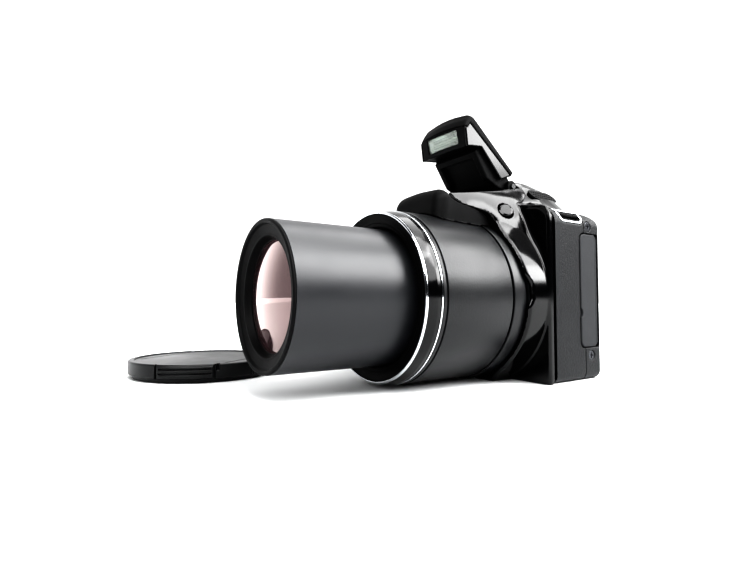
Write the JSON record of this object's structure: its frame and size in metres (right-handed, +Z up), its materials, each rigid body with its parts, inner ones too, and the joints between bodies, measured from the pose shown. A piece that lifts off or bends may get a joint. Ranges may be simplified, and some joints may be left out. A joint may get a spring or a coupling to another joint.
{
  "type": "bridge camera",
  "caption": "Compact bridge camera with a telescoping zoom lens extended, a pop-up flash raised, a finger grip, a rear display and its lens cap lying beside it.",
  "frame": {"origin": "mouth of the tripod socket, on the base directly below the lens axis", "axes": "+Z up out of the top, the lens looks along -Y, +X towards the connector side, away from the grip"},
  "size_m": [0.1225, 0.1462, 0.0937],
  "materials": {
    "gloss_shell": "polished black moulding",
    "satin_shell": "fine stippled charcoal moulding",
    "grip_rubber": "leather-grained grip skin",
    "flap_rubber": "smooth mid-grey rubber",
    "barrel_satin": "satin fine-grained black",
    "tube_paint": "satin charcoal paint",
    "bezel_black": "matte black",
    "trim_chrome": "bright plating",
    "key_steel": "satin metal",
    "part_steel": "plain steel",
    "contact_metal": "plated spring metal",
    "lens_glass": "coated optical glass",
    "flash_clear": "ribbed clear diffuser",
    "display_glass": "dark gloss cover",
    "board_green": "coated circuit board",
    "cell_jacket": "plain printed jacket left bare",
    "lamp_amber": "translucent amber",
    "cap_black": "satin black"
  },
  "bodies": {
    "camera": {"front_cover": "gloss_shell", "side_frame": "satin_shell", "rear_cover": "satin_shell", "top_cover": "gloss_shell", "hump_brow": "gloss_shell", "grip_rubber": "grip_rubber", "lens_barrel": "barrel_satin", "gloss_band": "gloss_shell", "chrome_rings": "trim_chrome", "name_ring": "barrel_satin", "light_seal": "bezel_black", "lens_housing": "bezel_black", "guide_barrel": "bezel_black", "rear_lens_group": "lens_glass", "image_sensor": "display_glass", "sensor_plate": "part_steel", "zoom_motor": "part_steel", "main_board": "board_green", "flash_capacitor": "cell_jacket", "lcd_glass": "display_glass", "lcd_panel": "part_steel", "key_board": "board_green", "battery_holder": "bezel_black", "battery_cells": "cell_jacket", "holder_contacts": "contact_metal", "door_pin": "part_steel", "tripod_bush": "part_steel", "strap_lug_side": "trim_chrome", "strap_lug_grip": "trim_chrome", "speaker_grille": "key_steel", "focus_lamp": "lamp_amber", "socket_block": "bezel_black", "case_screws": "part_steel", "flash_hinge_pin": "part_steel"},
    "zoom_unit": {"zoom_tube": "tube_paint", "front_bezel": "bezel_black", "front_lens": "lens_glass"},
    "cam": {"cam_barrel": "part_steel"},
    "flash_head": {"flash_arm": "satin_shell", "flash_housing": "gloss_shell", "flash_lid": "satin_shell", "flash_window": "flash_clear", "flash_reflector": "trim_chrome"},
    "flash_key": {"flash_button": "gloss_shell"},
    "shutter_key": {"shutter_button": "trim_chrome"},
    "lever": {"zoom_lever": "gloss_shell"},
    "power_key": {"power_button": "gloss_shell"},
    "record_key": {"record_button": "key_steel"},
    "mode_key": {"mode_button": "gloss_shell"},
    "playback_key": {"playback_button": "gloss_shell"},
    "menu_key": {"menu_button": "gloss_shell"},
    "delete_key": {"delete_button": "gloss_shell"},
    "selector_key": {"selector_ring": "gloss_shell"},
    "ok_key": {"ok_button": "key_steel"},
    "door": {"battery_door": "satin_shell", "door_contacts": "contact_metal"},
    "flap": {"connector_cover": "flap_rubber"},
    "cap": {"lens_cap": "cap_black"},
    "latch_inner": {"cap_latch_inner": "cap_black"},
    "latch_outer": {"cap_latch_outer": "cap_black"}
  },
  "joints": [
    {"name": "zoom_slide", "type": "slide", "parent": "camera", "child": "zoom_unit", "axis": [0, 1, 0], "range_m": [0, 0.038]},
    {"name": "cam_turn", "type": "hinge", "parent": "camera", "child": "cam", "pos_m": [0, 0, 0.0294], "axis": [0, 1, 0], "range_deg": [-100, 0]},
    {"name": "flash_hinge", "type": "hinge", "parent": "camera", "child": "flash_head", "pos_m": [0, -0.0085, 0.0713], "axis": [1, 0, 0], "range_deg": [0, 52], "stiffness_Nm_per_rad": 0.012, "springref_deg": -34.38},
    {"name": "flash_press", "type": "slide", "parent": "camera", "child": "flash_key", "axis": [-0.7497, 0.4505, -0.4848], "range_m": [0, 0.0004], "stiffness_N_per_m": 800, "springref_m": -0.0006},
    {"name": "shutter_press", "type": "slide", "parent": "camera", "child": "shutter_key", "axis": [0, 0.2588, -0.9659], "range_m": [0, 0.0008], "stiffness_N_per_m": 800, "springref_m": -0.0006},
    {"name": "lever_turn", "type": "hinge", "parent": "camera", "child": "lever", "pos_m": [-0.0658, -0.021, 0.057], "axis": [0, -0.2588, 0.9659], "range_deg": [-20, 20], "stiffness_Nm_per_rad": 0.02},
    {"name": "power_press", "type": "slide", "parent": "camera", "child": "power_key", "axis": [0, 0, -1], "range_m": [0, 0.0004], "stiffness_N_per_m": 800, "springref_m": -0.0006},
    {"name": "record_press", "type": "slide", "parent": "camera", "child": "record_key", "axis": [0, -1, 0], "range_m": [0, 0.0004], "stiffness_N_per_m": 800, "springref_m": -0.0006},
    {"name": "mode_press", "type": "slide", "parent": "camera", "child": "mode_key", "axis": [0, -1, 0], "range_m": [0, 0.0004], "stiffness_N_per_m": 800, "springref_m": -0.0006},
    {"name": "playback_press", "type": "slide", "parent": "camera", "child": "playback_key", "axis": [0, -1, 0], "range_m": [0, 0.0004], "stiffness_N_per_m": 800, "springref_m": -0.0006},
    {"name": "menu_press", "type": "slide", "parent": "camera", "child": "menu_key", "axis": [0, -1, 0], "range_m": [0, 0.0004], "stiffness_N_per_m": 800, "springref_m": -0.0006},
    {"name": "delete_press", "type": "slide", "parent": "camera", "child": "delete_key", "axis": [0, -1, 0], "range_m": [0, 0.0004], "stiffness_N_per_m": 800, "springref_m": -0.0006},
    {"name": "selector_press", "type": "slide", "parent": "camera", "child": "selector_key", "axis": [0, -1, 0], "range_m": [0, 0.0004], "stiffness_N_per_m": 800, "springref_m": -0.0006},
    {"name": "ok_press", "type": "slide", "parent": "camera", "child": "ok_key", "axis": [0, -1, 0], "range_m": [0, 0.0004], "stiffness_N_per_m": 800, "springref_m": -0.0006},
    {"name": "door_hinge", "type": "hinge", "parent": "camera", "child": "door", "pos_m": [-0.0731, 0, 0.0012], "axis": [0, 1, 0], "range_deg": [0, 95]},
    {"name": "flap_hinge", "type": "hinge", "parent": "camera", "child": "flap", "pos_m": [0.03095, 0.0147, 0.0321], "axis": [0, 0, 1], "range_deg": [0, 110]},
    {"name": "cap_lift", "type": "slide", "parent": "camera", "child": "cap", "axis": [0, 0, 1], "range_m": [0, 0.05]},
    {"name": "latch_inner_press", "type": "slide", "parent": "cap", "child": "latch_inner", "axis": [0.8191, 0.5736, 0], "range_m": [0, 0.0008], "stiffness_N_per_m": 800, "springref_m": -0.0006},
    {"name": "latch_outer_press", "type": "slide", "parent": "cap", "child": "latch_outer", "axis": [-0.8191, -0.5736, 0], "range_m": [0, 0.0008], "stiffness_N_per_m": 800, "springref_m": -0.0006}
  ],
  "couplings": [
    {"joint": "cam_turn", "follows": "zoom_slide", "rad_per_m": -45.93}
  ]
}
